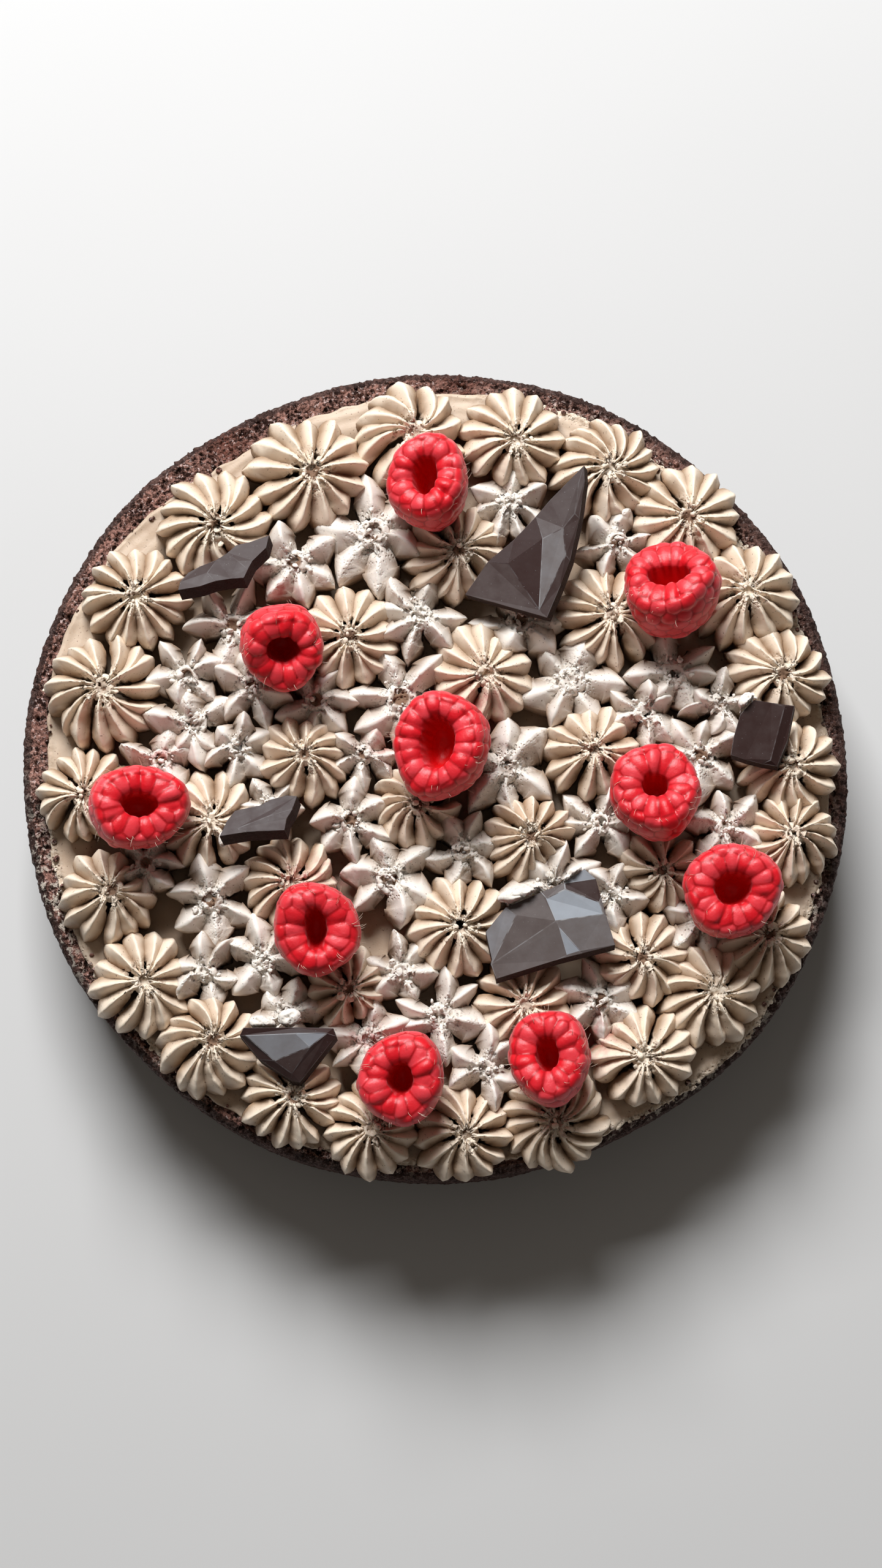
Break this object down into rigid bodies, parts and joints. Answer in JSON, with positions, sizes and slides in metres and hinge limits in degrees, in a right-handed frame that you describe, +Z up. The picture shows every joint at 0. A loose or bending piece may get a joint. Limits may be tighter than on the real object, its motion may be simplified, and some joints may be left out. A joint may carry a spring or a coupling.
{
  "type": "chocolate cake",
  "caption": "Round dark sponge cake filled with mocha cream, topped with piped rosettes and flowers, raspberries and broken chocolate.",
  "frame": {"origin": "centre of the cake's underside", "axes": "+Z up through the cake, +Y away from the viewer of the picture, +X to their right"},
  "size_m": [0.2002, 0.1992, 0.0616],
  "materials": {
    "sponge": "dark cocoa crumb, matte",
    "mocha_cream": "soft whipped mocha cream, matte with fine specks",
    "pale_cream": "pale whipped cream, matte, torn at the centre",
    "raspberry": "fresh berry skin, moist sheen and fine hairs",
    "chocolate": "moulded dark chocolate, soft gloss"
  },
  "bodies": {
    "root": {"sponge": "sponge", "mocha_cream": "mocha_cream", "pale_flower_01": "pale_cream", "pale_flower_02": "pale_cream", "pale_flower_03": "pale_cream", "pale_flower_04": "pale_cream", "pale_flower_05": "pale_cream", "pale_flower_06": "pale_cream", "pale_flower_07": "pale_cream", "pale_flower_08": "pale_cream", "pale_flower_09": "pale_cream", "pale_flower_10": "pale_cream", "pale_flower_11": "pale_cream", "pale_flower_12": "pale_cream", "pale_flower_13": "pale_cream", "pale_flower_14": "pale_cream", "pale_flower_15": "pale_cream", "pale_flower_16": "pale_cream", "pale_flower_17": "pale_cream", "pale_flower_18": "pale_cream", "pale_flower_19": "pale_cream", "pale_flower_20": "pale_cream", "pale_flower_21": "pale_cream", "pale_flower_22": "pale_cream", "pale_flower_23": "pale_cream", "pale_flower_24": "pale_cream", "pale_flower_25": "pale_cream", "pale_flower_26": "pale_cream", "pale_flower_27": "pale_cream", "pale_flower_28": "pale_cream", "pale_flower_29": "pale_cream", "pale_flower_30": "pale_cream", "pale_flower_31": "pale_cream", "pale_flower_32": "pale_cream", "pale_flower_33": "pale_cream", "pale_flower_34": "pale_cream", "pale_flower_35": "pale_cream", "pale_flower_36": "pale_cream", "pale_flower_37": "pale_cream", "pale_flower_38": "pale_cream", "pale_flower_39": "pale_cream", "pale_flower_40": "pale_cream", "raspberry_01": "raspberry", "raspberry_02": "raspberry", "raspberry_03": "raspberry", "raspberry_04": "raspberry", "raspberry_05": "raspberry", "raspberry_06": "raspberry", "raspberry_07": "raspberry", "raspberry_08": "raspberry", "raspberry_09": "raspberry", "raspberry_10": "raspberry", "chocolate_shard_1": "chocolate", "chocolate_shard_2": "chocolate", "chocolate_shard_3": "chocolate", "chocolate_shard_4": "chocolate", "chocolate_shard_5": "chocolate", "chocolate_shard_6": "chocolate"}
  },
  "joints": []
}
